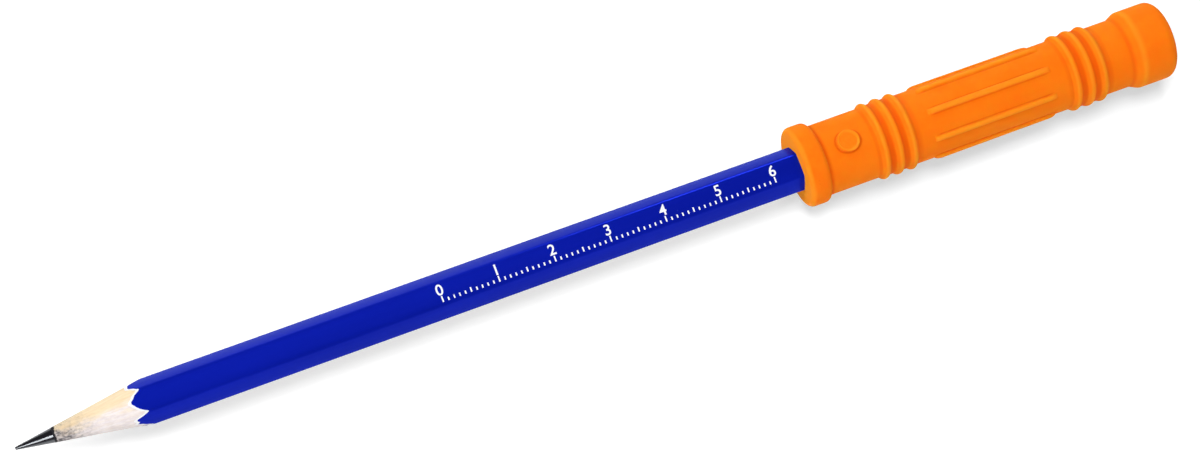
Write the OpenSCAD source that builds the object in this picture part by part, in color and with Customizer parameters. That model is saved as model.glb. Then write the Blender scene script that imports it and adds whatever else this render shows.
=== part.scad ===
// Chewable topper pushed onto a sharpened hexagonal pencil, in millimetres.
// X runs along the pencil from its point to the topper's closed end, and Z is up.

/* [Pencil] */
// Width across the flats, with the lacquer on
pencil_flats = 7; // [6:0.1:9]
// Depth to which the six long corners are rounded off
corner_cut = 0.15; // [0.03:0.01:0.3]
// Turn of the pencil about its axis, from a level upper flat
pencil_turn = 7; // [-30:1:30]
// Length that shows in front of the topper
shown_len = 138.1; // [60:0.1:180]
// Length that sits inside the topper
inserted_len = 36.9; // [20:0.1:55]
// Thickness of the lacquer coat
lacquer_thick = 0.12; // [0.05:0.01:0.3]
// Diameter of the graphite lead
lead_d = 2.55; // [1.8:0.05:3.5]
// Half angle of the sharpened cone
point_angle = 9.2; // [7:0.1:14]
// Diameter of the blunt tip of the lead
tip_d = 0.5; // [0.2:0.1:1.2]

/* [Topper tube] */
// Radial clearance between the pencil's corners and the bore
bore_clearance = 0.05; // [0.02:0.01:0.1]
// Gap between the pencil's end and the bottom of the bore
seat_gap = 0.3; // [0.1:0.1:2]
// Wall around the bore
wall = 2.28; // [1.8:0.01:4]

/* [Collar] */
// Length of the collar from its lip to its back
collar_len = 3.9; // [3:0.1:10]
// Height of the collar above the neck
collar_rise = 0.9; // [0.4:0.05:2]
// Rounding of the outer edge of the lip
lip_round = 1; // [0.4:0.1:2.6]
// Rounding of the mouth, where the pencil goes in
mouth_round = 0.15; // [0.1:0.05:0.7]
// Rounding of the collar's back edge
collar_back_round = 1; // [0.2:0.1:1.5]

/* [Neck and disc] */
// Plain neck between the collar and the first ring
neck_len = 9.65; // [8:0.05:16]
// Distance from the collar's back to the middle of the disc
disc_place = 4.75; // [3:0.05:6]
// Diameter of the raised disc
disc_d = 4; // [2:0.1:5]
// Height of the disc above the neck
disc_rise = 0.5; // [0.2:0.05:0.9]
// Depth of the hollow in the disc's face
disc_dish = 0.12; // [0.05:0.01:0.3]
// Width of the rim around that hollow
disc_rim = 0.6; // [0.2:0.05:0.8]

/* [Rings] */
// Rings in each of the two groups
ring_count = 3; // [1:1:5]
// Width of one ring
ring_w = 1.34; // [0.8:0.02:2]
// Height of a ring above the neck
ring_rise = 0.6; // [0.3:0.05:0.9]
// Distance from one ring to the next
ring_pitch = 2.6; // [2.1:0.1:4]

/* [Ribs] */
// Ribs around the middle of the topper
rib_count = 8; // [4:1:12]
// Length of a rib
rib_len = 23.15; // [10:0.05:40]
// Width of a rib
rib_w = 0.8; // [0.5:0.05:1.6]
// Height of a rib above the neck
rib_rise = 0.58; // [0.2:0.01:0.9]
// Length of the slope at each end of a rib
rib_slope = 1.4; // [0.5:0.1:4]
// Plain gap between a rib and the nearest ring
rib_gap = 3.3; // [1:0.1:6]

/* [Closed end] */
// Plain neck between the last ring and the flare
tail_len = 5; // [2:0.1:12]
// How much the radius of that neck is less than in front of the rings
tail_drop = 0.11; // [0:0.01:0.3]
// Length of the sloped flare
flare_len = 1.7; // [1:0.1:6]
// Length of the end from the flare to the end face
end_len = 6.8; // [4:0.05:12]
// Height of the end above the neck
end_rise = 0.7; // [0.3:0.02:2]
// Rounding of the edge of the end face
end_round = 1.7; // [0.3:0.1:2]

/* [Hidden] */
$fn = 96;

// How far a cut runs past what it cuts
past = 1;

// Pencil
function sharp_radius(flats) = flats / 2 / cos(30);
function corner_radius(flats) = sharp_radius(flats) - corner_cut;
pencil_len = shown_len + inserted_len;
pencil_r = corner_radius(pencil_flats);
wood_flats = pencil_flats - 2 * lacquer_thick;
lead_r = lead_d / 2;
tip_r = tip_d / 2;
cone_r = pencil_r + past;
cone_len = (cone_r - tip_r) / tan(point_angle);

// Radii of the topper
bore_r = pencil_r + bore_clearance;
neck_r = bore_r + wall;
collar_r = neck_r + collar_rise;
ring_r = neck_r + ring_rise;
rib_r = neck_r + rib_rise;
tail_r = neck_r - tail_drop;
end_r = neck_r + end_rise;
disc_top = neck_r + disc_rise;
mouth_r = bore_r + mouth_round;
root = wall / 2;

// Places along the topper, from its lip
bore_depth = inserted_len + seat_gap;
ring_group_len = (ring_count - 1) * ring_pitch + ring_w;
front_rings = collar_len + neck_len;
rib_start = front_rings + ring_group_len + rib_gap;
rib_end = rib_start + rib_len;
back_rings = rib_end + rib_gap;
last_ring = back_rings + ring_group_len - ring_w / 2;
flare_start = back_rings + ring_group_len + tail_len;
end_start = flare_start + flare_len;
topper_len = end_start + end_len;
disc_middle = collar_len + disc_place;
dish_r = disc_d / 2 - disc_rim;
dish_ball_r = (dish_r * dish_r + disc_dish * disc_dish) / (2 * disc_dish);

// The whole, centred over its footprint with the lower side of its widest round on the ground
overall_len = shown_len + topper_len;
lip_x = shown_len - overall_len / 2;
axis_z = max(collar_r, end_r);

// From the lip at the origin, looking along the pencil, to its place in the whole
module in_place() {
    translate([lip_x, 0, axis_z]) children();
}

// The same for the pencil's pieces, which are turned a little about the axis
module in_topper() {
    in_place() rotate([pencil_turn, 0, 0]) children();
}

// Turns a section about the pencil's axis: radius on X, distance from the lip on Y
module turned() {
    rotate([0, 90, 0]) rotate_extrude() children();
}

// Half section of a round band whose far edge is rounded
module band(radius, length, edge_round) {
    square([radius, length - edge_round]);
    square([radius - edge_round, length]);
    translate([radius - edge_round, length - edge_round]) circle(r = edge_round);
}

// Half section of a ring with a half-round crest
module ring() {
    square([ring_r - ring_w / 2, ring_w]);
    translate([ring_r - ring_w / 2, ring_w / 2]) circle(d = ring_w);
}

// Hexagon with its flats level and its corners rounded off
module hexagon(flats) {
    intersection() {
        circle(r = sharp_radius(flats), $fn = 6);
        circle(r = corner_radius(flats));
    }
}

// A length of pencil stock from the tip to the butt end
module stock() {
    translate([-shown_len, 0, 0]) rotate([90, 0, 90]) linear_extrude(pencil_len) children();
}

// What the sharpener leaves of the stock
module sharpened() {
    translate([-shown_len, 0, 0]) turned() polygon([
        [0, 0], [tip_r, 0], [cone_r, cone_len], [cone_r, pencil_len + past], [0, pencil_len + past]
    ]);
}

// Half of the wooden casing with its groove for the lead, on the side that is kept
module slat(side) {
    intersection() {
        sharpened();
        stock() intersection() {
            difference() {
                hexagon(wood_flats);
                circle(r = lead_r);
            }
            translate([-pencil_flats, side > 0 ? 0 : -pencil_flats])
                square([2 * pencil_flats, pencil_flats]);
        }
    }
}

module topper_section() {
    difference() {
        union() {
            intersection() {
                translate([0, collar_len]) mirror([0, 1]) band(collar_r, collar_len, lip_round);
                band(collar_r, collar_len, collar_back_round);
            }
            translate([0, collar_len / 2]) square([neck_r, last_ring - collar_len / 2]);
            translate([0, last_ring]) square([tail_r, end_start - last_ring]);
            for (group = [front_rings, back_rings], number = [0 : ring_count - 1]) {
                translate([0, group + number * ring_pitch]) ring();
            }
            polygon([[0, flare_start], [tail_r, flare_start], [end_r, end_start], [0, end_start]]);
            translate([0, end_start]) band(end_r, end_len, end_round);
        }
        square([bore_r, bore_depth]);
        difference() {
            square([mouth_r, mouth_round]);
            translate([mouth_r, mouth_round]) circle(r = mouth_round);
        }
    }
}

module ribs() {
    intersection() {
        turned() polygon([
            [neck_r - root, rib_start], [neck_r, rib_start],
            [rib_r, rib_start + rib_slope], [rib_r, rib_end - rib_slope],
            [neck_r, rib_end], [neck_r - root, rib_end]
        ]);
        for (number = [0 : rib_count - 1]) {
            rotate([number * 360 / rib_count, 0, 0])
                translate([rib_start, -rib_w / 2, 0]) cube([rib_len, rib_w, rib_r]);
        }
    }
}

module disc() {
    translate([disc_middle, 0, 0]) difference() {
        translate([0, 0, neck_r - root]) cylinder(d = disc_d, h = disc_rise + root);
        translate([0, 0, disc_top - disc_dish + dish_ball_r]) sphere(r = dish_ball_r);
    }
}

// One soft moulding: tube, collar, rings, ribs, disc and closed end
module topper() {
    color("darkorange") in_place() {
        turned() topper_section();
        ribs();
        disc();
    }
}

// Paint over the whole hexagon, cut back by the sharpener
module lacquer_coat() {
    color("mediumblue") in_topper() intersection() {
        sharpened();
        stock() difference() {
            hexagon(pencil_flats);
            hexagon(wood_flats);
        }
    }
}

module upper_slat() {
    color("wheat") in_topper() slat(1);
}

module lower_slat() {
    color("burlywood") in_topper() slat(-1);
}

module graphite_lead() {
    color("dimgray") in_topper() intersection() {
        sharpened();
        stock() circle(r = lead_r);
    }
}

topper();
lacquer_coat();
upper_slat();
lower_slat();
graphite_lead();
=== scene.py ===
import math
from bisect import bisect_right

import bpy
from mathutils import Matrix, Vector, noise


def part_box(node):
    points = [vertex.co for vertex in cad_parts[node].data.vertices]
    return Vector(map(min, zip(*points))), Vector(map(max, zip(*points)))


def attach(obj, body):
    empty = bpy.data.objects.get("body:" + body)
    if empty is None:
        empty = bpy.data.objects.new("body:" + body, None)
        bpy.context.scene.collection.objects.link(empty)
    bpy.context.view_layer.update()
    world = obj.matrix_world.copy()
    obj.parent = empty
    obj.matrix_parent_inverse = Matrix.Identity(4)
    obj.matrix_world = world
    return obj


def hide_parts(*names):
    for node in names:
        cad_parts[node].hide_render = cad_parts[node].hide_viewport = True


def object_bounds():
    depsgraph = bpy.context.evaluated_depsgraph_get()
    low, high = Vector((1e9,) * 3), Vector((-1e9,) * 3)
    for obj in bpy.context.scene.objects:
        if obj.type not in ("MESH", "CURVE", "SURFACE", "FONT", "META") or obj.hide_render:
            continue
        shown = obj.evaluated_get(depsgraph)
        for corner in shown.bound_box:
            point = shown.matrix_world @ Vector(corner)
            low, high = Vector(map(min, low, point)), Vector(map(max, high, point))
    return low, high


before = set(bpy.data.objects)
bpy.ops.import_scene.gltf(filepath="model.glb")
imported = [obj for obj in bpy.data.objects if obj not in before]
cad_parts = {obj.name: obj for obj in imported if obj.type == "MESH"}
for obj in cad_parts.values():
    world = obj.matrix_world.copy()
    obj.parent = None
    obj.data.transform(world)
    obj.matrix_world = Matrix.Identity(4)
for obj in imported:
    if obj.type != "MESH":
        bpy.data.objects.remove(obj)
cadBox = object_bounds()
mm = 0.001

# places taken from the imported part
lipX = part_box("topper")[0].x
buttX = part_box("lacquer_coat")[1].x
leadLow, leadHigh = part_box("graphite_lead")
axisZ = (leadLow.z + leadHigh.z) / 2
print("frame loaded, lip at %.1f mm" % (lipX / mm))


# small helpers
def clamp(value, low=0.0, high=1.0):
    return max(low, min(high, value))


def smooth(value):
    t = clamp(value)
    return t * t * (3 - 2 * t)


def softBump(distance, halfWidth, fullness):
    # rounded ridge: 1 on its crest, 0 at halfWidth, with soft feet
    t = clamp(abs(distance) / halfWidth)
    return math.cos(math.pi / 2 * t ** fullness) ** 2


def roundDrop(t):
    # quarter round from 1 down to 0
    return math.sqrt(max(0.0, 1 - clamp(t) ** 2))


def softMax(a, b, blend):
    # the larger of two, with a fillet where they cross
    t = clamp(0.5 + 0.5 * (a - b) / blend)
    return b + (a - b) * t + blend * t * (1 - t)


def softRamp(t, easeIn, easeOut):
    # straight climb from 0 to 1 with a short bend at each end
    if t < easeIn:
        return max(0.0, t + easeIn) ** 2 / (4 * easeIn)
    if t > 1 - easeOut:
        return 1 - max(0.0, 1 + easeOut - t) ** 2 / (4 * easeOut)
    return t


def arc(centreX, centreR, radius, fromDegrees, toDegrees, steps):
    points = []
    for i in range(steps + 1):
        a = math.radians(fromDegrees + (toDegrees - fromDegrees) * i / steps)
        points.append((centreX + radius * math.cos(a), centreR + radius * math.sin(a)))
    return points


def hexRadius(angle, flats, cornerRound, bulge):
    # rounded hexagon with slightly bulging sides, angle measured from the middle of the upper side
    a = abs((math.degrees(angle) + 30) % 60 - 30)
    middle = flats / 2 - cornerRound
    side = math.degrees(math.atan(middle * math.tan(math.radians(30)) / (flats / 2)))
    sunk = bulge * (math.tan(math.radians(a)) / math.tan(math.radians(30))) ** 2
    if a <= side:
        return flats / 2 / math.cos(math.radians(a)) - sunk
    reach = middle / math.cos(math.radians(30))
    off = math.radians(30 - a)
    return reach * math.cos(off) + math.sqrt(cornerRound ** 2 - (reach * math.sin(off)) ** 2) - sunk


def onAxis(x, radius, angle):
    # a point round the pencil, angle measured from straight up towards the back
    return Vector((x, radius * math.sin(angle), axisZ + radius * math.cos(angle)))


def makePiece(name, points, faces, body, materials, sharpDegrees):
    mesh = bpy.data.meshes.new(name)
    mesh.from_pydata([tuple(p) for p in points], [], faces)
    mesh.validate()
    for material in materials:
        mesh.materials.append(material)
    mesh.shade_smooth()
    mesh.set_sharp_from_angle(angle=math.radians(sharpDegrees))
    piece = bpy.data.objects.new(name, mesh)
    bpy.context.collection.objects.link(piece)
    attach(piece, body)
    return piece


def ringFaces(rings, columns):
    faces = []
    for i in range(rings - 1):
        for j in range(columns):
            k = (j + 1) % columns
            a = i * columns
            b = a + columns
            faces.append((a + j, a + k, b + k, b + j))
    return faces


def setFloats(piece, name, values):
    layer = piece.data.attributes.new(name, "FLOAT", "POINT")
    layer.data.foreach_set("value", values)


# shader building
nodeStep = 190


def put(tree, kind, inputs=None, **settings):
    node = tree.nodes.new("ShaderNode" + kind)
    node.location = (len(tree.nodes) * nodeStep, 0)
    for key, value in settings.items():
        setattr(node, key, value)
    for key, value in (inputs or {}).items():
        if isinstance(value, bpy.types.NodeSocket):
            tree.links.new(value, node.inputs[key])
        else:
            node.inputs[key].default_value = value
    return node


def mathNode(tree, operation, a, b=0.0, limit=False):
    node = put(tree, "Math", {0: a, 1: b}, operation=operation, use_clamp=limit)
    return node.outputs[0]


def times(tree, a, b):
    return mathNode(tree, "MULTIPLY", a, b)


def mixColor(tree, factor, a, b, blend="MIX"):
    node = put(tree, "Mix", data_type="RGBA", blend_type=blend)
    for key, value in (("Factor_Float", factor), ("A_Color", a), ("B_Color", b)):
        socket = next(s for s in node.inputs if s.identifier == key)
        if isinstance(value, bpy.types.NodeSocket):
            tree.links.new(value, socket)
        else:
            socket.default_value = value
    return next(s for s in node.outputs if s.identifier == "Result_Color")


def span(tree, value, low, high, toLow=0.0, toHigh=1.0):
    node = put(tree, "MapRange", {0: value, 1: low, 2: high, 3: toLow, 4: toHigh},
               interpolation_type="SMOOTHSTEP")
    return node.outputs[0]


def measured(tree, name):
    return put(tree, "Attribute", attribute_name=name).outputs["Fac"]


def newGroup(name, inputs, outputs):
    tree = bpy.data.node_groups.new(name, "ShaderNodeTree")
    for label, kind, value in inputs:
        socket = tree.interface.new_socket(label, in_out="INPUT", socket_type="NodeSocket" + kind)
        socket.default_value = value
    for label, kind in outputs:
        tree.interface.new_socket(label, in_out="OUTPUT", socket_type="NodeSocket" + kind)
    given = tree.nodes.new("NodeGroupInput").outputs
    out = tree.nodes.new("NodeGroupOutput").inputs
    return tree, given, out


def useGroup(tree, group, **values):
    node = put(tree, "Group")
    node.node_tree = group
    for key, value in values.items():
        if isinstance(value, bpy.types.NodeSocket):
            tree.links.new(value, node.inputs[key])
        else:
            node.inputs[key].default_value = value
    return node.outputs


def newMaterial(name):
    material = bpy.data.materials.new(name)
    material.use_nodes = True
    tree = material.node_tree
    return material, tree, tree.nodes["Principled BSDF"]


def finishMaterial(tree, shader, color, rough, normal, fixed):
    # links what changes over the surface, and sets what doesn't
    tree.links.new(color, shader.inputs["Base Color"])
    tree.links.new(rough, shader.inputs["Roughness"])
    tree.links.new(normal, shader.inputs["Normal"])
    for key, value in fixed.items():
        shader.inputs[key].default_value = value


def stretched(tree, given):
    place = put(tree, "TexCoord").outputs["Object"]
    return put(tree, "VectorMath", {0: place, 1: given["Stretch"]}, operation="MULTIPLY").outputs[0]


# mottle: slow drift between two tones
def mottleGroup():
    tree, given, out = newGroup("mottle", [
        ("Light", "Color", (1, 1, 1, 1)), ("Dark", "Color", (0, 0, 0, 1)),
        ("Scale", "Float", 200.0), ("Stretch", "Vector", (1, 1, 1))],
        [("Color", "Color"), ("Mask", "Float")])
    cloud = put(tree, "TexNoise", {"Vector": stretched(tree, given), "Scale": given["Scale"],
                                   "Detail": 4.0, "Roughness": 0.6})
    mask = span(tree, cloud.outputs[0], 0.32, 0.68)
    tree.links.new(mixColor(tree, mask, given["Light"], given["Dark"]), out["Color"])
    tree.links.new(mask, out["Mask"])
    return tree


# skin: fine moulded, sprayed or fibrous texture, as a height
def skinGroup():
    tree, given, out = newGroup("skin", [
        ("Scale", "Float", 3000.0), ("Stretch", "Vector", (1, 1, 1)), ("Coarse", "Float", 0.35)],
        [("Height", "Float")])
    moved = stretched(tree, given)
    fine = put(tree, "TexNoise", {"Vector": moved, "Scale": given["Scale"], "Detail": 2.0})
    wideScale = times(tree, given["Scale"], 0.13)
    wide = put(tree, "TexNoise", {"Vector": moved, "Scale": wideScale, "Detail": 1.0})
    part = times(tree, wide.outputs[0], given["Coarse"])
    tree.links.new(mathNode(tree, "ADD", fine.outputs[0], part), out["Height"])
    return tree


# specks: sparse small grains of dust, pigment or pores
def speckGroup():
    tree, given, out = newGroup("specks", [
        ("Scale", "Float", 1200.0), ("Size", "Float", 0.2), ("Share", "Float", 0.1),
        ("Stretch", "Vector", (1, 1, 1))], [("Mask", "Float")])
    cells = put(tree, "TexVoronoi", {"Vector": stretched(tree, given), "Scale": given["Scale"]})
    spot = mathNode(tree, "LESS_THAN", cells.outputs["Distance"], given["Size"])
    pick = put(tree, "SeparateColor", {0: cells.outputs["Color"]}).outputs[0]
    kept = mathNode(tree, "LESS_THAN", pick, given["Share"])
    tree.links.new(times(tree, spot, kept), out["Mask"])
    return tree


mottle = mottleGroup()
skin = skinGroup()
specks = speckGroup()
print("shared shader groups built")


# pencil: hexagonal stock, sharpened
pencil = {
    "flats": 7.08, "cornerRound": 0.6, "bulge": 0.1, "leadRadius": 1.275, "tipRadius": 0.25,   # mm
    "turn": 7.0, "pointAngle": 9.2,   # degrees
    "coatThick": 0.16, "primerShare": 0.55,
    "edgeForward": 0.1, "edgeWander": 0.55,
    "edgeWaves": ((5, 25.2, 1.0), (13, 54.4, 0.5), (31, 5.2, 0.4)),   # how many, seed, strength
    "flatSteps": 8, "cornerSteps": 7, "rowsAlong": 60, "rowGather": 2.2,
}

# topper: one soft moulding, sizes in mm and places from its lip
topper = {
    "neck": 6.22, "collar": 7.11, "tail": 6.11, "end": 6.92,   # radii
    "boreGap": 0.02, "boreDepth": 37.2, "boreBottom": 0.3, "mouthRound": 0.12,
    "collarLength": 3.9, "lipRound": 1.0,
    "collarBackRound": 1.0, "collarBackSlope": 0.8, "collarFillet": 0.3,
    "disc": 2.1, "discAt": 8.55, "discRise": 0.55, "discEdge": 0.2,
    "discDish": 0.14, "discRim": 0.5, "dishEase": 0.3,
    "ringFirst": (14.22, 50.51), "ringFloor": (0.12, 0.24), "floorEase": 0.8,
    "rings": 3, "ringPitch": 2.6, "ringRise": 0.6, "ringHalf": 1.0, "ringFullness": 1.15,
    "ribs": 8, "ribFrom": 23.39, "ribTo": 46.45, "ribSlope": 1.4,
    "ribRise": (0.61, 0.53), "ribHalf": 0.52, "ribFullness": 3,
    "flareFrom": 61.38, "flareTo": 63.08, "flareEase": (0.15, 0.2),
    "length": 69.88, "endRound": 1.7,
    "rows": 240, "discRows": 25, "boreRows": 12, "mouthSteps": 8, "lipSteps": 20, "endSteps": 10,
    "columnStep": 3.0, "discColumnStep": 0.9, "discReach": 24.0,   # degrees
    "ribColumns": (0, 0.14, 0.27, 0.37, 0.46, 0.54, 0.66, 0.8, 0.95),
    "light": (1.0, 0.212, 0.006, 1), "dark": (1.0, 0.19, 0.005, 1), "grain": (0.8, 0.12, 0.004, 1),
    # painted highlight colour on crests and painted shade colour in grooves, laid on by the crest
    # attribute
    "crest": (1.0, 0.31, 0.016, 1), "highlightShare": 0.75,
    "groove": (0.85, 0.11, 0.002, 1), "grooveShare": 0.9, "discStipple": 9.0,
}

# bands of painted highlight (crests) and painted shade (grooves and feet) on the moulding:
# strength, place from the feature in mm, half width in mm, fullness
paintedLightBands = {
    "collarGroove": (1.0, 0.2, 0.6, 1.0),
    "ringCrest": (1.0, 0.0, 0.6, 1.0), "ringGroove": (1.0, 1.092, 0.95, 1.4),
    "frontGroove": (0.6, -1.15, 0.6, 1.0),
    "ribFoot": (0.7, 0.1, 0.3, 1.0),
    "discCrest": (1.0, -0.35, 0.4, 1.0), "discGroove": (1.0, 0.12, 0.45, 1.0),
    "flareCrest": (0.8, 0.2, 1.0, 1.0), "flareGroove": (0.6, 0.0, 0.9, 1.0),
}
# levels of the painted light: plain carries none, lip and disc face get painted highlight, the last
# groove a weaker painted shade
paintedLightLevels = {
    "plain": 0.5, "lip": 0.3, "lipFade": 1.5, "discFace": 0.3, "discShare": 0.5, "lastGroove": 0.55,
}


def topperMaterial():
    material, tree, shader = newMaterial("topperRubber")
    tone = useGroup(tree, mottle, Light=topper["light"], Dark=topper["dark"], Scale=170.0)
    # crest attribute above the plain level is painted highlight, below it painted shade
    crest = measured(tree, "crest")
    plain = paintedLightLevels["plain"]
    paintedHighlight = span(tree, crest, plain, 1.0, 0.0, topper["highlightShare"])
    color = mixColor(tree, paintedHighlight, tone["Color"], topper["crest"])
    paintedShade = span(tree, crest, plain, 0.0, 0.0, topper["grooveShare"])
    color = mixColor(tree, paintedShade, color, topper["groove"])
    grains = useGroup(tree, specks, Scale=900.0, Size=0.14, Share=0.06)
    color = mixColor(tree, times(tree, grains["Mask"], 0.2), color, topper["grain"])
    rough = span(tree, tone["Mask"], 0.0, 1.0, 0.7, 0.8)
    fine = useGroup(tree, skin, Scale=3600.0, Coarse=0.6)["Height"]
    stipple = useGroup(tree, skin, Scale=2100.0, Coarse=0.2)["Height"]
    onDisc = times(tree, measured(tree, "discFace"), topper["discStipple"])
    rougher = times(tree, stipple, onDisc)
    height = mathNode(tree, "ADD", fine, rougher)
    bump = put(tree, "Bump", {"Strength": 0.2, "Distance": 0.00006, "Height": height})
    finishMaterial(tree, shader, color, rough, bump.outputs[0], {
        "Subsurface Weight": 0.6, "Subsurface Radius": (1.0, 0.12, 0.03),
        "Subsurface Scale": 0.0025, "Specular IOR Level": 0.05})
    return material


def topperRadius(x):
    # outer radius of the round body, without ribs and disc
    t = topper
    lastRing = t["ringFirst"][1] + (t["rings"] - 1) * t["ringPitch"]
    radius = t["neck"] + (t["tail"] - t["neck"]) * smooth((x - lastRing) / t["ringPitch"] + 0.5)
    past = x - t["collarLength"]
    if past < t["collarBackRound"]:
        drop = t["collarBackRound"] * (1 - roundDrop(past / t["collarBackRound"] + 1))
        rim = t["collar"] - drop - t["collarBackSlope"] * max(0.0, past)
        radius = softMax(rim, radius, t["collarFillet"])
    for first, floor in zip(t["ringFirst"], t["ringFloor"]):
        last = first + (t["rings"] - 1) * t["ringPitch"]
        radius += floor * smooth(min(x - first, last - x) / t["floorEase"] + 1)
        for number in range(t["rings"]):
            crest = first + number * t["ringPitch"]
            bump = softBump(x - crest, t["ringHalf"], t["ringFullness"])
            radius += (t["ringRise"] - floor) * bump
    ramp = (x - t["flareFrom"]) / (t["flareTo"] - t["flareFrom"])
    return radius + (t["end"] - t["tail"]) * softRamp(ramp, *t["flareEase"])


# strength of one band of painted highlight or painted shade at a distance from its feature
def toneBand(name, distance):
    strength, place, half, fullness = paintedLightBands[name]
    return strength * softBump(distance - place, half, fullness)


def ribHeight(x, angle):
    # height of the nearest rib, and the painted shade along its foot
    t = topper
    along = min(x - t["ribFrom"], t["ribTo"] - x) / t["ribSlope"]
    if along <= 0:
        return 0.0, 0.0
    front, back = t["ribRise"]
    rise = front + (back - front) * (x - t["ribFrom"]) / (t["ribTo"] - t["ribFrom"])
    turn = 2 * math.pi / t["ribs"]
    off = abs((angle + turn / 2) % turn - turn / 2) * t["neck"]
    across = math.sqrt(max(0.0, 1 - (off / t["ribHalf"]) ** t["ribFullness"]))
    # painted shade along the foot of the rib
    foot = toneBand("ribFoot", off - t["ribHalf"]) * smooth(along)
    return rise * across * roundDrop(1 - along), foot


def discRadius(x, angle, radius):
    # radius over the dished disc, how far inside its rim, and the painted light there: painted
    # highlight on its rim and face, painted shade round its foot
    t = topper
    if math.cos(angle) < 0.5:   # far round from the disc
        return radius, 0.0, 0.0
    top = t["neck"] + t["discRise"]
    away = math.hypot(x - t["discAt"], top * math.tan(angle))
    # painted highlight just inside the rim, painted shade round the foot
    tone = toneBand("discCrest", away - t["disc"]) - toneBand("discGroove", away - t["disc"])
    if away >= t["disc"]:
        return radius, 0.0, tone
    inside = smooth((t["disc"] - t["discRim"] - away) / t["dishEase"] + 0.5)
    face = (top - t["discDish"] * inside) / math.cos(angle)
    edge = roundDrop(1 - (t["disc"] - away) / t["discEdge"])
    return radius + (face - radius) * edge, inside, tone + paintedLightLevels["discFace"] * inside


def topperTone(x, ridgeHighlight, foot):
    # painted light on the moulding: 1 is full painted highlight on ring crests, rib tops and the
    # flare's edge, 0 full painted shade in the grooves between rings, behind the collar, before the
    # first ring, at the foot of the flare and along rib feet; the plain level elsewhere
    t = topper
    groove = max(foot, toneBand("collarGroove", x - t["collarLength"]))
    for first in t["ringFirst"]:
        for number in range(t["rings"]):
            crest = first + number * t["ringPitch"]
            inner = 1.0 if number < t["rings"] - 1 else paintedLightLevels["lastGroove"]
            ridgeHighlight = max(ridgeHighlight, toneBand("ringCrest", x - crest))
            groove = max(groove, inner * toneBand("ringGroove", x - crest))
        groove = max(groove, toneBand("frontGroove", x - first))
    ridgeHighlight = max(ridgeHighlight, toneBand("flareCrest", x - t["flareTo"]))
    groove = max(groove, toneBand("flareGroove", x - t["flareFrom"]))
    plain = paintedLightLevels["plain"]
    return plain + (1 - plain) * ridgeHighlight - plain * groove * (1 - ridgeHighlight)


def topperAngles():
    # columns gather on the ribs and across the disc
    t = topper
    perMm = math.degrees(1 / t["neck"])
    chosen = []

    def add(degrees, clear):
        degrees = (degrees + 180) % 360 - 180
        if all(abs(degrees - other) >= clear for other in chosen):
            chosen.append(degrees)

    for rib in range(t["ribs"]):
        for offset in t["ribColumns"]:
            for side in (-1, 1):
                add(rib * 360 / t["ribs"] + side * offset * perMm, clear=0.3)
    for i in range(int(2 * t["discReach"] / t["discColumnStep"]) + 1):
        add(i * t["discColumnStep"] - t["discReach"], clear=0.4)
    for i in range(int(360 / t["columnStep"])):
        add(i * t["columnStep"], clear=0.6 * t["columnStep"])
    return [math.radians(d) for d in sorted(chosen)]


def topperRows():
    # rows gather where the outline bends or climbs, at the rib ends and across the disc
    t = topper
    start = t["lipRound"]
    end = t["length"] - t["endRound"]
    fine = 0.01
    evenShare, bendShare, sharpest = 0.45, 0.55, 0.5
    closest = 0.012
    steps = int((end - start) / fine)
    xs = [start + (end - start) * i / steps for i in range(steps + 1)]
    radii = [topperRadius(x) for x in xs]
    weights = [0.0]
    lastSlope = 0.0
    for i in range(1, len(xs)):
        slope = (radii[i] - radii[i - 1]) / fine
        bend = min(abs(math.atan(slope) - math.atan(lastSlope)), sharpest)
        climb = abs(radii[i] - radii[i - 1])
        weights.append(weights[-1] + evenShare * fine + climb + bendShare * bend)
        lastSlope = slope
    rows = []
    for i in range(t["rows"] + 1):
        place = bisect_right(weights, weights[-1] * i / t["rows"])
        rows.append(xs[min(place, len(xs) - 1)])
    for share in (0.0, 0.02, 0.06, 0.13, 0.22, 0.34, 0.5, 0.72, 1.0):
        rows += [t["ribFrom"] + share * t["ribSlope"], t["ribTo"] - share * t["ribSlope"]]
    # past the disc's edge by the width of the painted shade round it
    reach = t["disc"] + paintedLightBands["discGroove"][2]
    rows += [t["discAt"] + reach * (i / t["discRows"] - 1) for i in range(2 * t["discRows"] + 1)]
    kept = []
    for x in sorted(rows):
        if not kept or x - kept[-1] > closest:
            kept.append(x)
    return kept


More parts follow.
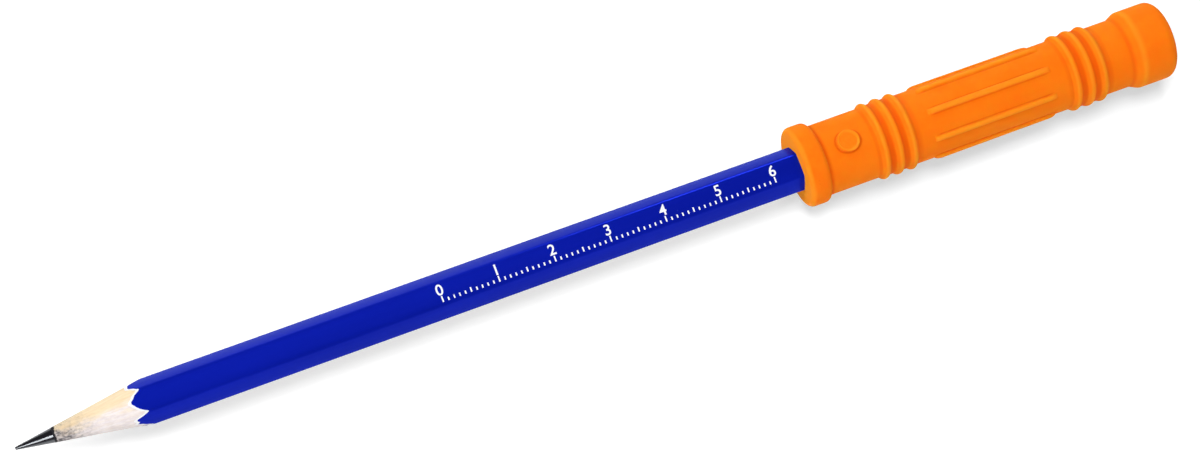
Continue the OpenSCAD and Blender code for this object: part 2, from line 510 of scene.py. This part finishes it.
def buildTopper():
    t = topper
    angles = topperAngles()
    columns = len(angles)
    boreFlats = pencil["flats"] + 2 * t["boreGap"]
    boreRound = pencil["cornerRound"] + t["boreGap"]
    turn = math.radians(pencil["turn"])
    bore = [hexRadius(a + turn, boreFlats, boreRound, pencil["bulge"]) for a in angles]
    lip = t["collar"] - t["lipRound"]
    mouth = t["mouthRound"]
    plainTone, lipHighlight, lipFade = (paintedLightLevels[k] for k in ("plain", "lip", "lipFade"))
    points = []
    crest = []
    # painted highlight and painted shade at each point, kept as the crest attribute
    discFace = []

    def addRing(x, radii, tone=plainTone):
        for angle, radius in zip(angles, radii):
            points.append(onAxis(lipX + x * mm, radius * mm, angle))
        crest.extend([tone] * columns)
        discFace.extend([0.0] * columns)

    # bore, from its bottom to the lip
    for share in (0.12, 0.5, 0.92):
        addRing(t["boreDepth"], [b * share for b in bore])
    bottom = t["boreDepth"] - t["boreBottom"]
    for i in range(t["boreRows"] + 1):
        addRing(bottom + (mouth - bottom) * i / t["boreRows"], bore)
    # the mouth's rounding carries the lip's full painted highlight
    for x, out in arc(mouth, mouth, mouth, 270, 180, t["mouthSteps"])[1:]:
        addRing(x, [b + out for b in bore], plainTone + lipHighlight)
    # lip and outer side
    for x, radius in arc(t["lipRound"], lip, t["lipRound"], 180, 90, t["lipSteps"]):
        # painted highlight on the lip's front, fading over its outer rounding
        paintedHighlight = lipHighlight * smooth(lipFade - lipFade * x / t["lipRound"])
        addRing(x, [radius] * columns, plainTone + paintedHighlight)
    for x in topperRows()[1:]:
        plain = topperRadius(x)
        for angle in angles:
            rib, foot = ribHeight(x, angle)
            radius, inside, tone = discRadius(x, angle, plain + rib)
            points.append(onAxis(lipX + x * mm, radius * mm, angle))
            # painted highlight on crests and rib tops, painted shade in grooves, along rib feet and
            # round the disc
            body = topperTone(x, rib / t["ribRise"][0], foot)
            crest.append(clamp(body + paintedLightLevels["discShare"] * tone))
            discFace.append(inside)
    # closed end
    flat = t["end"] - t["endRound"]
    bend = t["length"] - t["endRound"]
    for x, radius in arc(bend, flat, t["endRound"], 90, 0, t["endSteps"])[1:]:
        addRing(x, [radius] * columns)
    for share in (0.7, 0.35, 0.1):
        addRing(t["length"], [flat * share] * columns)
    rings = len(points) // columns
    faces = ringFaces(rings, columns)
    points.append(onAxis(lipX + t["boreDepth"] * mm, 0, 0))
    points.append(onAxis(lipX + t["length"] * mm, 0, 0))
    crest += [plainTone, plainTone]
    discFace += [0.0, 0.0]
    last = (rings - 1) * columns
    for j in range(columns):
        k = (j + 1) % columns
        faces.append((k, j, len(points) - 2))
        faces.append((last + j, last + k, len(points) - 1))
    piece = makePiece("topper_moulding", points, faces, "topper",
                      [topperMaterial()], sharpDegrees=50)
    setFloats(piece, "crest", crest)
    setFloats(piece, "discFace", discFace)
    # throws no orange on the floor
    piece.visible_diffuse = False
    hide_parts("topper")
    print("topper moulding: %d rings of %d" % (rings, columns))


buildTopper()


# paint: blue lacquer over a white undercoat that shows at the cut edge
paint = {
    "light": (0.0038, 0.0125, 0.41, 1), "dark": (0.0032, 0.0108, 0.36, 1),
    "nib": (0.04, 0.06, 0.45, 1),
    "underLight": (0.92, 0.92, 0.92, 1), "underDark": (0.82, 0.83, 0.86, 1),
}


def lacquerMaterial():
    material, tree, shader = newMaterial("blueLacquer")
    tone = useGroup(tree, mottle, Light=paint["light"], Dark=paint["dark"],
                    Scale=260.0, Stretch=(0.15, 1, 1))
    nibs = useGroup(tree, specks, Scale=700.0, Size=0.09, Share=0.03)
    color = mixColor(tree, times(tree, nibs["Mask"], 0.3), tone["Color"], paint["nib"])
    rough = span(tree, tone["Mask"], 0.0, 1.0, 0.16, 0.24)
    peel = useGroup(tree, skin, Scale=900.0, Stretch=(0.35, 1, 1), Coarse=1.2)["Height"]
    bump = put(tree, "Bump", {"Strength": 0.1, "Distance": 0.00004, "Height": peel})
    finishMaterial(tree, shader, color, rough, bump.outputs[0], {
        "Metallic": 0.25, "Specular IOR Level": 0.04, "Specular Tint": (0.25, 0.6, 1.0, 1)})
    return material


def undercoatMaterial():
    material, tree, shader = newMaterial("whiteUndercoat")
    tone = useGroup(tree, mottle, Light=paint["underLight"], Dark=paint["underDark"], Scale=900.0)
    rough = span(tree, tone["Mask"], 0.0, 1.0, 0.65, 0.75)
    chalk = useGroup(tree, skin, Scale=5000.0)["Height"]
    bump = put(tree, "Bump", {"Strength": 0.2, "Distance": 0.00004, "Height": chalk})
    finishMaterial(tree, shader, tone["Color"], rough, bump.outputs[0], {})
    return material


def coatEdge(angle, radius):
    # where the sharpener's cone cuts a radius, with a slightly ragged line
    tanPoint = math.tan(math.radians(pencil["pointAngle"]))
    clean = (radius - pencil["tipRadius"]) / tanPoint
    ragged = 0.0
    for waves, seed, strength in pencil["edgeWaves"]:
        spot = Vector((math.cos(angle) * waves, math.sin(angle) * waves, seed))
        ragged += strength * noise.noise(spot)
    return clean - pencil["edgeForward"] + pencil["edgeWander"] * ragged


def buildCoat():
    p = pencil
    half = math.radians(30)
    middle = p["flats"] / 2 - p["cornerRound"]
    side = math.atan(middle * math.tan(half) / (p["flats"] / 2))
    angles = []
    for facet in range(6):
        start = facet * 2 * half
        for i in range(p["flatSteps"]):
            angles.append(start - side + 2 * side * i / p["flatSteps"])
        for i in range(p["cornerSteps"]):
            angles.append(start + side + 2 * (half - side) * i / p["cornerSteps"])
    columns = len(angles)
    turn = math.radians(p["turn"])
    outer = [hexRadius(a, p["flats"], p["cornerRound"], p["bulge"]) for a in angles]
    inner = [r - p["coatThick"] for r in outer]
    butt = (buttX - leadLow.x) / mm
    points = []

    def addRing(radii, places):
        for angle, radius, x in zip(angles, radii, places):
            points.append(onAxis(leadLow.x + x * mm, radius * mm, angle - turn))

    # cut rim: undercoat first, then colour
    for share in (0.0, p["primerShare"], 1.0):
        radii = [i + (o - i) * share for i, o in zip(inner, outer)]
        addRing(radii, [coatEdge(a, r) for a, r in zip(angles, radii)])
    front = [coatEdge(a, r) for a, r in zip(angles, outer)]
    for i in range(1, p["rowsAlong"] + 1):
        share = (i / p["rowsAlong"]) ** p["rowGather"]
        addRing(outer, [x + (butt - x) * share for x in front])
    # flush butt end and the side that lies on the wood
    addRing(inner, [butt] * columns)
    rings = len(points) // columns
    faces = ringFaces(rings, columns)
    last = (rings - 1) * columns
    for j in range(columns):
        k = (j + 1) % columns
        faces.append((last + j, last + k, k, j))
    piece = makePiece("paint_coat", points, faces, "pencil",
                      [lacquerMaterial(), undercoatMaterial()], sharpDegrees=35)
    for polygon in piece.data.polygons[:columns]:
        polygon.material_index = 1
    # throws no blue on the floor
    piece.visible_diffuse = False
    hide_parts("lacquer_coat")
    print("paint coat: %d rings of %d" % (rings, columns))


buildCoat()


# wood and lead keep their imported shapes
wood = {
    "tones": {
        "upper_slat": {"light": (0.9, 0.75, 0.52, 1), "dark": (0.86, 0.68, 0.45, 1)},
        "lower_slat": {"light": (0.9, 0.76, 0.55, 1), "dark": (0.86, 0.69, 0.48, 1)},
    },
    "line": (0.88, 0.82, 0.74, 1), "pore": (0.6, 0.5, 0.42, 1),
    # painted light: pale flecked colour for the front side of the point
    "paintedLitSide": (0.9, 0.84, 0.83, 1), "paintedLitFleck": (0.8, 0.73, 0.74, 1),
    "dirt": (0.06, 0.056, 0.062, 1), "rim": (0.018, 0.018, 0.022, 1),
    "pointEnd": (40.0, 30.0), "paintedLitFade": (1.3, -1.5), "wander": 2.0,   # mm
    "dirtReach": (9.5, -0.5), "rimReach": (0.4, 0.25), "rimRagged": -0.3,   # mm
    "otherSide": 0.4,   # share of the dirt
}


def woodMaterial(name, light, dark):
    w = wood
    material, tree, shader = newMaterial(name)
    place = put(tree, "SeparateXYZ", {0: put(tree, "TexCoord").outputs["Object"]}).outputs

    def fade(value, zero, ends):
        return span(tree, value, zero + ends[0] * mm, zero + ends[1] * mm)

    # painted light: the front side of the point is painted paler and flecked; the same mask puts
    # most of the graphite dirt on that side
    drift = useGroup(tree, mottle, Scale=700.0, Stretch=(0.2, 1, 1))["Mask"]
    wander = times(tree, mathNode(tree, "SUBTRACT", drift, 0.5), w["wander"] * mm)
    across = mathNode(tree, "ADD", place["Y"], wander)
    onPoint = fade(place["X"], leadLow.x, w["pointEnd"])
    side = times(tree, fade(across, 0.0, w["paintedLitFade"]), onPoint)
    bands = useGroup(tree, mottle, Light=light, Dark=dark, Scale=420.0, Stretch=(0.06, 1, 1))
    paintedLitFlecks = useGroup(tree, mottle, Light=w["paintedLitSide"], Dark=w["paintedLitFleck"],
                       Scale=1500.0, Stretch=(0.5, 1, 1))
    color = mixColor(tree, side, bands["Color"], paintedLitFlecks["Color"])
    lines = useGroup(tree, mottle, Light=(1, 1, 1, 1), Dark=w["line"],
                     Scale=2600.0, Stretch=(0.05, 1, 1))
    color = mixColor(tree, 0.6, color, lines["Color"], "MULTIPLY")
    pores = useGroup(tree, specks, Scale=2200.0, Size=0.3, Share=0.2, Stretch=(0.2, 1, 1))
    color = mixColor(tree, times(tree, pores["Mask"], 0.2), color, w["pore"])
    # graphite rubbed into the wood next to the lead, most of it on that side
    tanPoint = math.tan(math.radians(pencil["pointAngle"]))
    edge = leadLow.x + (pencil["leadRadius"] - pencil["tipRadius"]) * mm / tanPoint
    near = fade(place["X"], edge, w["dirtReach"])
    close = times(tree, near, near)
    grime = useGroup(tree, mottle, Scale=2600.0, Stretch=(0.6, 1, 1))["Mask"]
    grains = useGroup(tree, specks, Scale=2300.0, Size=0.42, Share=0.5)["Mask"]
    dust = times(tree, span(tree, grime, 0.35, 0.9), span(tree, grains, 0.0, 1.0, 0.55, 1.0))
    cloud = useGroup(tree, mottle, Scale=1300.0)["Mask"]
    much = mathNode(tree, "ADD", times(tree, side, 1 - w["otherSide"]), w["otherSide"])
    patchy = span(tree, cloud, 0.0, 1.0, 0.45, 1.0)
    smear = times(tree, times(tree, close, patchy), much)
    dots = times(tree, times(tree, times(tree, near, dust), much), 0.9)
    dirt = mathNode(tree, "ADD", smear, dots, limit=True)
    color = mixColor(tree, times(tree, dirt, 0.9), color, w["dirt"])
    # dark, slightly ragged line where the wood meets the lead
    ragged = mathNode(tree, "ADD", place["X"], times(tree, cloud, w["rimRagged"] * mm))
    color = mixColor(tree, fade(ragged, edge, w["rimReach"]), color, w["rim"])
    rough = span(tree, bands["Mask"], 0.0, 1.0, 0.7, 0.8)
    fibre = useGroup(tree, skin, Scale=5200.0, Stretch=(0.06, 1, 1), Coarse=0.8)["Height"]
    bump = put(tree, "Bump", {"Strength": 0.2, "Distance": 0.00006, "Height": fibre})
    finishMaterial(tree, shader, color, rough, bump.outputs[0], {"Specular IOR Level": 0.2})
    return material


lead = {"light": (0.009, 0.009, 0.012, 1), "dark": (0.004, 0.004, 0.006, 1)}


def graphiteMaterial():
    material, tree, shader = newMaterial("graphite")
    tone = useGroup(tree, mottle, Light=lead["light"], Dark=lead["dark"],
                    Scale=2400.0, Stretch=(0.1, 1, 1))
    rough = span(tree, tone["Mask"], 0.0, 1.0, 0.1, 0.17)
    lines = useGroup(tree, skin, Scale=6000.0, Stretch=(0.04, 1, 1), Coarse=0.6)["Height"]
    bump = put(tree, "Bump", {"Strength": 0.2, "Distance": 0.00004, "Height": lines})
    finishMaterial(tree, shader, tone["Color"], rough, bump.outputs[0], {
        "IOR": 1.8, "Specular IOR Level": 0.6, "Specular Tint": (0.9, 0.94, 1.0, 1)})
    return material


def dressNode(node, material):
    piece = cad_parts[node]
    piece.data.materials.clear()
    piece.data.materials.append(material)
    # throws no colour on the floor
    piece.visible_diffuse = False


for slat, tones in wood["tones"].items():
    dressNode(slat, woodMaterial(slat + "_wood", **tones))
dressNode("graphite_lead", graphiteMaterial())
print("wood and graphite finished")


# foil scale: plain centimetre marks on the upper flat
scale = {
    "centimetres": 6, "endBeforeLip": 5.0, "lowEdge": -1.45, "thick": 0.012, "sink": 0.006,   # mm
    "marks": {10: 1.0, 5: 0.8, 1: 0.55}, "markWidth": 0.24,
    "digitSize": 2.6, "digitBold": 0.03, "digitGap": 0.2,
    "light": (0.95, 0.95, 0.96, 1), "dark": (0.86, 0.88, 0.93, 1), "worn": (0.1, 0.12, 0.5, 1),
}


def foilMaterial():
    material, tree, shader = newMaterial("whiteFoil")
    tone = useGroup(tree, mottle, Light=scale["light"], Dark=scale["dark"], Scale=1500.0)
    worn = useGroup(tree, specks, Scale=3200.0, Size=0.3, Share=0.06)
    color = mixColor(tree, times(tree, worn["Mask"], 0.6), tone["Color"], scale["worn"])
    rough = span(tree, tone["Mask"], 0.0, 1.0, 0.4, 0.5)
    press = useGroup(tree, skin, Scale=4000.0)["Height"]
    bump = put(tree, "Bump", {"Strength": 0.1, "Distance": 0.00003, "Height": press})
    finishMaterial(tree, shader, color, rough, bump.outputs[0], {})
    return material


def buildScale():
    s = scale
    points = []
    faces = []
    turn = math.radians(pencil["turn"])
    upward = Vector((0, -math.sin(turn), math.cos(turn)))
    across = Vector((0, math.cos(turn), math.sin(turn)))
    zero = lipX - (s["endBeforeLip"] + 10 * s["centimetres"]) * mm
    base = pencil["flats"] / 2 - s["sink"]

    def onFlat(along, side, lift):
        # mm along the scale, across the flat and above its surface
        middle = Vector((zero + along * mm, 0, axisZ))
        return middle + across * side * mm + upward * (base + lift) * mm

    boxFaces = ((3, 2, 1, 0), (4, 5, 6, 7), (0, 1, 5, 4), (1, 2, 6, 5), (2, 3, 7, 6), (3, 0, 4, 7))
    for tick in range(10 * s["centimetres"] + 1):
        height = next(h for step, h in s["marks"].items() if tick % step == 0)
        start = len(points)
        for lift in (0, s["thick"]):
            for dx, dy in ((-0.5, 0), (0.5, 0), (0.5, 1), (-0.5, 1)):
                points.append(onFlat(tick + dx * s["markWidth"], s["lowEdge"] + dy * height, lift))
        for face in boxFaces:
            faces.append(tuple(start + i for i in face))
    for number in range(s["centimetres"] + 1):
        digit = bpy.data.curves.new("digit", "FONT")
        digit.body = str(number)
        digit.align_x = "CENTER"
        digit.size = s["digitSize"]
        digit.offset = s["digitBold"]
        digit.extrude = s["thick"] / 2
        digit.resolution_u = 6
        shape = bpy.data.objects.new("digit", digit)
        bpy.context.collection.objects.link(shape)
        bpy.context.view_layer.update()
        flat = shape.evaluated_get(bpy.context.evaluated_depsgraph_get()).to_mesh()
        start = len(points)
        foot = s["lowEdge"] + s["marks"][10] + s["digitGap"]
        for vertex in flat.vertices:
            x, y, z = vertex.co
            points.append(onFlat(number * 10 + x, foot + y, s["thick"] / 2 + z))
        for polygon in flat.polygons:
            faces.append(tuple(start + i for i in polygon.vertices))
        shape.evaluated_get(bpy.context.evaluated_depsgraph_get()).to_mesh_clear()
        bpy.data.objects.remove(shape)
        bpy.data.curves.remove(digit)
    makePiece("foil_scale", points, faces, "pencil",
              [foilMaterial()], sharpDegrees=30)
    print("foil scale: %d cm" % s["centimetres"])


buildScale()


# stage
stage = {
    "floorHalf": 4.0, "floorDrop": 0.02 * mm,   # m
    "light": (0.82, 0.82, 0.82, 1), "dark": (0.8, 0.8, 0.8, 1), "glow": 0.37,
}


def buildFloor():
    half = stage["floorHalf"]
    mesh = bpy.data.meshes.new("floor")
    corners = [(-half, -half, 0), (half, -half, 0), (half, half, 0), (-half, half, 0)]
    mesh.from_pydata(corners, [], [(0, 1, 2, 3)])
    floor = bpy.data.objects.new("floor", mesh)
    floor.location.z = cadBox[0].z - stage["floorDrop"]
    bpy.context.collection.objects.link(floor)
    material, tree, shader = newMaterial("paleFloor")
    tone = useGroup(tree, mottle, Light=stage["light"], Dark=stage["dark"], Scale=30.0)
    tree.links.new(tone["Color"], shader.inputs["Base Color"])
    shader.inputs["Roughness"].default_value = 0.9
    shader.inputs["Specular IOR Level"].default_value = 0.0
    rays = put(tree, "LightPath").outputs
    seen = mathNode(tree, "ADD", rays["Is Camera Ray"], rays["Is Glossy Ray"], limit=True)
    seen = mathNode(tree, "ADD", seen, rays["Is Transmission Ray"], limit=True)
    tree.links.new(times(tree, seen, stage["glow"]), shader.inputs["Emission Strength"])
    shader.inputs["Emission Color"].default_value = (1, 1, 1, 1)
    mesh.materials.append(material)


# lamps: sky overhead, key from the point's end, low fill in front, strip and rim for highlights
lamps = {
    "sky": {"from": (-0.05, 0.08, 1.0), "size": (0.38, 0.38), "watts": 5.2, "glossy": False},
    "key": {"from": (-0.8, 0.25, 0.65), "size": (0.25, 0.25), "watts": 3.6, "glossy": False},
    "fill": {"from": (-0.2, -1.0, 0.35), "size": (1.2, 0.5), "watts": 3.4, "glossy": False},
    "strip": {"from": (-0.41, -0.36, 0.77), "size": (0.1, 0.45), "watts": 1.5, "glossy": True},
    "rim": {"from": (0.27, 0.78, 0.5), "size": (0.2, 0.25), "watts": 2.4, "glossy": True},
}
# room light at the horizon and higher up
room = {"low": 0.5, "high": 0.06, "highFrom": 0.6}


def buildLamps():
    for name, lamp in lamps.items():
        data = bpy.data.lights.new(name, "AREA")
        data.shape = "RECTANGLE"
        data.size, data.size_y = lamp["size"]
        data.energy = lamp["watts"]
        light = bpy.data.objects.new(name, data)
        # faces the middle, with its first side along the pencil
        back = Vector(lamp["from"]).normalized()
        side = back.cross((1, 0, 0)).normalized()
        turn = Matrix((side.cross(back), side, back)).transposed().to_4x4()
        light.matrix_world = Matrix.Translation(lamp["from"]) @ turn
        light.visible_glossy = lamp["glossy"]
        bpy.context.collection.objects.link(light)
    world = bpy.data.worlds.new("studio")
    bpy.context.scene.world = world
    world.use_nodes = True
    tree = world.node_tree
    up = put(tree, "SeparateXYZ", {0: put(tree, "TexCoord").outputs["Generated"]}).outputs[2]
    level = span(tree, up, 0.0, room["highFrom"], room["low"], room["high"])
    tree.links.new(level, tree.nodes["Background"].inputs["Strength"])
    tree.nodes["Background"].inputs["Color"].default_value = (1, 1, 1, 1)


# camera: looks down on the pencil, which climbs to the right and leans away
shot = {
    "lens": 85.7, "sensor": 36.0, "beforeLip": 35.9, "above": 0.48,   # mm
    "distance": 0.48,   # m
    "lean": 10.5, "side": 13.5, "climb": 19.71,   # degrees
}


def buildCamera():
    lean, side, climb = (math.radians(shot[k]) for k in ("lean", "side", "climb"))
    toCamera = Vector((-math.sin(lean), -math.cos(lean) * math.sin(side),
                       math.cos(lean) * math.cos(side)))
    along = (Vector((1, 0, 0)) + toCamera * math.sin(lean)) / math.cos(lean)
    across = along.cross(toCamera)
    right = along * math.cos(climb) + across * math.sin(climb)
    up = along * math.sin(climb) - across * math.cos(climb)
    aim = Vector((lipX - shot["beforeLip"] * mm, 0, axisZ)) - across * shot["above"] * mm
    data = bpy.data.cameras.new("photo")
    data.sensor_width = shot["sensor"]
    data.lens = shot["lens"]
    data.clip_start = 0.01
    camera = bpy.data.objects.new("photo", data)
    turn = Matrix((right, up, toCamera)).transposed().to_4x4()
    camera.matrix_world = Matrix.Translation(aim + toCamera * shot["distance"]) @ turn
    bpy.context.collection.objects.link(camera)
    bpy.context.scene.camera = camera


buildFloor()
buildLamps()
buildCamera()
bpy.context.scene.view_settings.view_transform = "Standard"
print("stage, lamps and camera set")

bpy.context.view_layer.update()
